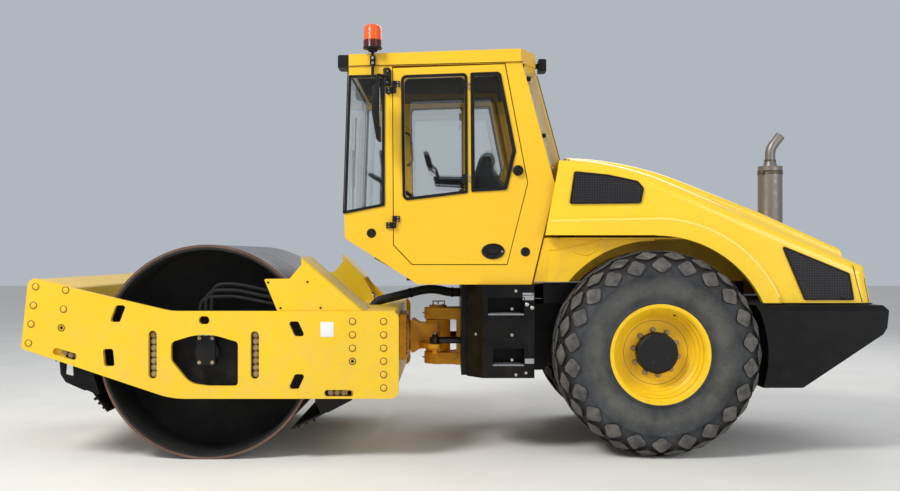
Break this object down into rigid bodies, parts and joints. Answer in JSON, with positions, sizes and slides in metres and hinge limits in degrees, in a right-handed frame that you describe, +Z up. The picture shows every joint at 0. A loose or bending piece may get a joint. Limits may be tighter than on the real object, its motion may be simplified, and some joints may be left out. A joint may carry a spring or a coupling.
{
  "type": "single-drum road roller",
  "caption": "Single-drum vibratory soil compactor with an enclosed cab, a smooth steel drum in a front yoke and two driven rear tyres with a diamond tread, jointed at its hitch.",
  "frame": {"origin": "on the ground, under the middle of the overall bounding box", "axes": "+X forward, towards the drum; +Y to the machine's left; +Z up"},
  "size_m": [6.0516, 2.32, 3.078],
  "materials": {
    "yellow_paint": "gloss",
    "ochre_casting": "satin",
    "black_paint": "satin",
    "drum_steel": "matte",
    "chrome_rod": "polished",
    "exhaust_steel": "satin",
    "rubber": "matte",
    "hose_rubber": "satin",
    "window_glass": "gloss",
    "hood_composite": "gloss",
    "black_plastic": "matte",
    "seat_fabric": "matte",
    "amber_lens": "gloss",
    "engine_iron": "matte"
  },
  "bodies": {
    "rear_frame": {"chassis": "black_paint", "rear_axle": "black_paint", "engine_block": "engine_iron", "counterweight": "black_paint", "tow_eye": "black_paint", "side_tanks": "black_paint", "firewall": "black_paint", "inner_arches": "yellow_paint", "cab_floor": "black_paint", "cab_nose": "yellow_paint", "cab_rear_frame": "yellow_paint", "cab_roof": "yellow_paint", "cab_sides": "yellow_paint", "cab_glass": "window_glass", "seat_base": "black_plastic", "seat_cushions": "seat_fabric", "steering_column": "black_plastic", "side_console": "black_plastic", "exhaust": "exhaust_steel", "hitch_fork": "ochre_casting", "mirrors": "black_plastic", "work_lamps": "black_plastic", "beacon_base": "black_plastic", "beacon_lens": "amber_lens"},
    "wheel_left": {"rim_left": "yellow_paint", "tyre_left": "rubber"},
    "wheel_right": {"rim_right": "yellow_paint", "tyre_right": "rubber"},
    "hitch": {"hitch_neck": "ochre_casting", "hitch_hoses": "hose_rubber"},
    "front_frame": {"yoke_sides": "yellow_paint", "yoke_front_beam": "yellow_paint", "yoke_rear_beam": "yellow_paint", "drum_mounts": "exhaust_steel", "drum_hoses": "hose_rubber", "cover_left": "yellow_paint", "cover_right": "yellow_paint", "scraper_front": "black_paint", "scraper_rear": "black_paint"},
    "drum": {"drum": "drum_steel"},
    "barrel_left": {"steer_barrel_left": "black_paint"},
    "barrel_right": {"steer_barrel_right": "black_paint"},
    "rod_left": {"steer_rod_left": "chrome_rod"},
    "rod_right": {"steer_rod_right": "chrome_rod"},
    "door_left": {"door_left": "yellow_paint", "door_glass_left": "window_glass"},
    "door_right": {"door_right": "yellow_paint", "door_glass_right": "window_glass"},
    "hood": {"hood": "hood_composite", "hood_vents": "black_plastic"}
  },
  "joints": [
    {"name": "steering", "type": "hinge", "parent": "rear_frame", "child": "hitch", "pos_m": [0.157, 0, 0.79], "axis": [0, 0, 1], "range_deg": [-35, 35], "deforming": ["hitch_hoses"]},
    {"name": "oscillation", "type": "hinge", "parent": "hitch", "child": "front_frame", "pos_m": [0.4, 0, 0.79], "axis": [-1, 0, 0], "range_deg": [-12, 12]},
    {"name": "drum_roll", "type": "hinge", "parent": "front_frame", "child": "drum", "pos_m": [1.76, 0, 0.75], "axis": [0, 1, 0], "continuous": true},
    {"name": "wheel_left_roll", "type": "hinge", "parent": "rear_frame", "child": "wheel_left", "pos_m": [-1.41, 0.792, 0.73], "axis": [0, 1, 0], "continuous": true},
    {"name": "wheel_right_roll", "type": "hinge", "parent": "rear_frame", "child": "wheel_right", "pos_m": [-1.41, -0.792, 0.73], "axis": [0, 1, 0], "continuous": true},
    {"name": "barrel_left_swing", "type": "hinge", "parent": "rear_frame", "child": "barrel_left", "pos_m": [-0.6, 0.3, 0.771], "axis": [0, 0, 1], "range_deg": [-1, 1]},
    {"name": "barrel_right_swing", "type": "hinge", "parent": "rear_frame", "child": "barrel_right", "pos_m": [-0.6, -0.3, 0.771], "axis": [0, 0, 1], "range_deg": [-1, 1]},
    {"name": "rod_left_stroke", "type": "slide", "parent": "barrel_left", "child": "rod_left", "axis": [-1, 0, 0], "range_m": [-0.173, 0.173]},
    {"name": "rod_right_stroke", "type": "slide", "parent": "barrel_right", "child": "rod_right", "axis": [1, 0, 0], "range_m": [-0.173, 0.173]},
    {"name": "door_left_hinge", "type": "hinge", "parent": "rear_frame", "child": "door_left", "pos_m": [0.462, 0.866, 2.1], "axis": [0, 0, -1], "range_deg": [0, 90]},
    {"name": "door_right_hinge", "type": "hinge", "parent": "rear_frame", "child": "door_right", "pos_m": [0.462, -0.866, 2.1], "axis": [0, 0, 1], "range_deg": [0, 90]},
    {"name": "hood_hinge", "type": "hinge", "parent": "rear_frame", "child": "hood", "pos_m": [-0.82, 0, 2.1], "axis": [0, 1, 0], "range_deg": [0, 50]}
  ],
  "couplings": [
    {"joint": "rod_left_stroke", "follows": "steering", "m_per_rad": 0.2824},
    {"joint": "rod_right_stroke", "follows": "steering", "m_per_rad": 0.2824},
    {"joint": "barrel_left_swing", "follows": "steering", "ratio": 0.0257},
    {"joint": "barrel_right_swing", "follows": "steering", "ratio": 0.0257}
  ]
}
